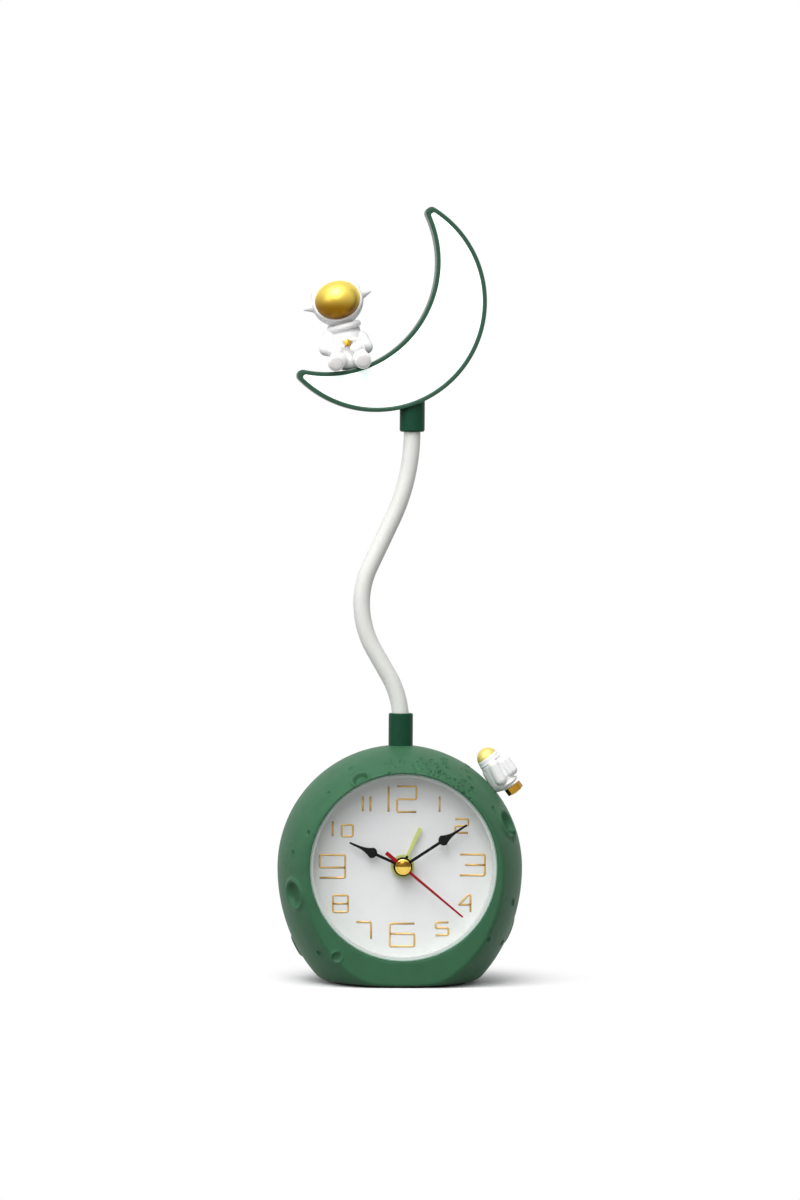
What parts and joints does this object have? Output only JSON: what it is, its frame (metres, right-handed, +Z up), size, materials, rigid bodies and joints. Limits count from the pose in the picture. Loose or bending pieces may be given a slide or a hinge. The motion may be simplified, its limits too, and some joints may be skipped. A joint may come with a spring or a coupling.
{
  "type": "alarm clock with a goose-neck crescent lamp",
  "caption": "Ball-shaped analogue alarm clock with a cratered shell and a flexible neck that holds a crescent moon lamp with a seated space-suit figure.",
  "frame": {"origin": "centre of the foot pad's underside, where the clock stands on a desk", "axes": "+Z up along the body's axis, +X to the right of someone reading the dial, -Y out of the dial"},
  "size_m": [0.1066, 0.0698, 0.3349],
  "materials": {
    "green_shell": "matte moulded ABS, moon-surface texture",
    "green_collar": "matte moulded ABS",
    "green_frame": "satin moulded ABS",
    "panel_green": "fine-grained moulded ABS",
    "control_plastic": "satin moulded ABS",
    "clear_lens": "clear acrylic, chamfered edge",
    "white_ring": "white polystyrene",
    "dial_card": "pearl white printed plate",
    "numeral_gold": "golden orange print",
    "case_plastic": "black moulded ABS",
    "wheel_plastic": "natural acetal",
    "rotor_magnet": "plastic-bonded ferrite",
    "stator_steel": "stamped soft iron",
    "copper_coil": "enamelled copper winding",
    "circuit_board": "glass-epoxy board",
    "buzzer_black": "black moulded case",
    "cell_wrap": "plain wrapped alkaline cell",
    "pouch_cell": "foil pouch",
    "contact_steel": "nickel-plated spring steel",
    "usb_steel": "stamped steel shell",
    "ballast_steel": "pressed steel weight",
    "screw_steel": "zinc-plated steel",
    "pad_foam": "closed-cell foam rubber",
    "hand_black": "satin black enamel on aluminium",
    "hand_red": "dark red enamel on aluminium",
    "hand_lime": "pale yellow-green enamel on aluminium",
    "gold_cap": "bright gold plate",
    "sleeve_silicone": "off-white silicone",
    "core_steel": "steel core",
    "diffuser_white": "opal diffuser",
    "figure_white": "white PVC",
    "figure_gold": "gold plating on PVC"
  },
  "bodies": {
    "base": {"front_shell": "green_shell", "rear_shell": "green_shell", "back_panel": "panel_green", "lens": "clear_lens", "spacer_ring": "white_ring", "dial_plate": "dial_card", "dial_numerals": "numeral_gold", "movement_front_case": "case_plastic", "movement_middle_plate": "case_plastic", "movement_back_case": "case_plastic", "stator": "stator_steel", "coil": "copper_coil", "clock_board": "circuit_board", "buzzer": "buzzer_black", "clock_battery": "cell_wrap", "battery_contacts": "contact_steel", "lamp_cell": "pouch_cell", "lamp_board": "circuit_board", "usb_socket": "usb_steel", "ballast_weight": "ballast_steel", "foot_pad": "pad_foam", "panel_screws": "screw_steel", "lower_collar": "green_collar", "neck_sleeve": "sleeve_silicone", "neck_core_0": "core_steel", "lying_figure_body": "figure_white", "lying_figure_visor": "figure_gold", "lying_figure_star": "figure_gold"},
    "battery_door": {"battery_door": "panel_green"},
    "time_knob": {"time_knob": "control_plastic"},
    "alarm_knob": {"alarm_knob": "control_plastic"},
    "alarm_switch": {"alarm_switch": "control_plastic"},
    "lamp_button": {"lamp_button": "control_plastic"},
    "alarm_indicator": {"alarm_hand": "hand_lime", "alarm_wheel": "wheel_plastic"},
    "hour_indicator": {"hour_hand": "hand_black", "hour_wheel": "wheel_plastic"},
    "minute_indicator": {"minute_hand": "hand_black", "cannon_pinion": "wheel_plastic"},
    "second_indicator": {"second_hand": "hand_red", "hand_cap": "gold_cap", "seconds_wheel": "wheel_plastic"},
    "motion_wheel": {"motion_wheel": "wheel_plastic"},
    "centre_wheel": {"centre_wheel": "wheel_plastic"},
    "third_wheel": {"third_wheel": "wheel_plastic"},
    "intermediate_wheel": {"intermediate_wheel": "wheel_plastic"},
    "rotor": {"rotor": "rotor_magnet"},
    "neck_link_1": {"neck_core_1": "core_steel"},
    "neck_link_2": {"neck_core_2": "core_steel"},
    "neck_link_3": {"neck_core_3": "core_steel"},
    "neck_link_4": {"neck_core_4": "core_steel"},
    "lamp_head": {"neck_core_5": "core_steel", "upper_collar": "green_collar", "moon_frame": "green_frame", "moon_diffuser": "diffuser_white", "light_board": "circuit_board", "seated_figure_body": "figure_white", "seated_figure_visor": "figure_gold", "seated_figure_star": "figure_gold"}
  },
  "joints": [
    {"name": "minute_spin", "type": "hinge", "parent": "base", "child": "minute_indicator", "pos_m": [0, -0.0166, 0.0514], "axis": [0, 1, 0], "continuous": true},
    {"name": "hour_spin", "type": "hinge", "parent": "base", "child": "hour_indicator", "pos_m": [0, -0.0166, 0.0514], "axis": [0, 1, 0], "continuous": true},
    {"name": "motion_wheel_spin", "type": "hinge", "parent": "base", "child": "motion_wheel", "pos_m": [-0.01039, -0.0166, 0.0574], "axis": [0, 1, 0], "continuous": true},
    {"name": "time_knob_turn", "type": "hinge", "parent": "base", "child": "time_knob", "pos_m": [-0.02239, -0.0166, 0.0574], "axis": [0, 1, 0], "continuous": true},
    {"name": "seconds_spin", "type": "hinge", "parent": "base", "child": "second_indicator", "pos_m": [0, -0.0166, 0.0514], "axis": [0, 1, 0], "continuous": true},
    {"name": "intermediate_wheel_spin", "type": "hinge", "parent": "base", "child": "intermediate_wheel", "pos_m": [0.00935, -0.0166, 0.046], "axis": [0, 1, 0], "continuous": true},
    {"name": "rotor_spin", "type": "hinge", "parent": "base", "child": "rotor", "pos_m": [0.01663, -0.0166, 0.0418], "axis": [0, 1, 0], "continuous": true},
    {"name": "third_wheel_spin", "type": "hinge", "parent": "base", "child": "third_wheel", "pos_m": [0, -0.0166, 0.0406], "axis": [0, 1, 0], "continuous": true},
    {"name": "centre_wheel_spin", "type": "hinge", "parent": "base", "child": "centre_wheel", "pos_m": [0, -0.0166, 0.0514], "axis": [0, 1, 0], "continuous": true},
    {"name": "alarm_spin", "type": "hinge", "parent": "base", "child": "alarm_indicator", "pos_m": [0, -0.0166, 0.0514], "axis": [0, 1, 0], "continuous": true},
    {"name": "alarm_knob_turn", "type": "hinge", "parent": "base", "child": "alarm_knob", "pos_m": [0.01039, -0.0166, 0.0574], "axis": [0, 1, 0], "continuous": true},
    {"name": "battery_door_pull", "type": "slide", "parent": "base", "child": "battery_door", "axis": [0, 1, 0], "range_m": [0, 0.015]},
    {"name": "alarm_switch_slide", "type": "slide", "parent": "base", "child": "alarm_switch", "axis": [1, 0, 0], "range_m": [0, 0.003]},
    {"name": "lamp_button_press", "type": "slide", "parent": "base", "child": "lamp_button", "axis": [0, -1, 0], "range_m": [0, 0.001], "stiffness_N_per_m": 400, "springref_m": -0.001},
    {"name": "neck_bend_1", "type": "hinge", "parent": "base", "child": "neck_link_1", "pos_m": [-0.00316, 0, 0.12758], "axis": [0, 1, 0], "range_deg": [-25, 25], "deforming": ["neck_sleeve"]},
    {"name": "neck_bend_2", "type": "hinge", "parent": "neck_link_1", "child": "neck_link_2", "pos_m": [-0.01445, 0, 0.14873], "axis": [0.9328, 0, 0.3603], "range_deg": [-25, 25]},
    {"name": "neck_bend_3", "type": "hinge", "parent": "neck_link_2", "child": "neck_link_3", "pos_m": [-0.01611, 0, 0.1723], "axis": [0, 1, 0], "range_deg": [-25, 25]},
    {"name": "neck_bend_4", "type": "hinge", "parent": "neck_link_3", "child": "neck_link_4", "pos_m": [-0.00657, 0, 0.19428], "axis": [0.9063, 0, -0.4226], "range_deg": [-25, 25]},
    {"name": "neck_bend_5", "type": "hinge", "parent": "neck_link_4", "child": "lamp_head", "pos_m": [0.00173, 0, 0.21674], "axis": [0, 1, 0], "range_deg": [-25, 25]}
  ],
  "couplings": [
    {"joint": "hour_spin", "follows": "minute_spin", "ratio": 0.083333},
    {"joint": "motion_wheel_spin", "follows": "minute_spin", "ratio": -0.33333},
    {"joint": "time_knob_turn", "follows": "minute_spin", "ratio": 1},
    {"joint": "intermediate_wheel_spin", "follows": "seconds_spin", "ratio": -5},
    {"joint": "rotor_spin", "follows": "seconds_spin", "ratio": 30},
    {"joint": "third_wheel_spin", "follows": "seconds_spin", "ratio": -0.125},
    {"joint": "centre_wheel_spin", "follows": "seconds_spin", "ratio": 0.016667},
    {"joint": "alarm_knob_turn", "follows": "alarm_spin", "ratio": -4}
  ]
}
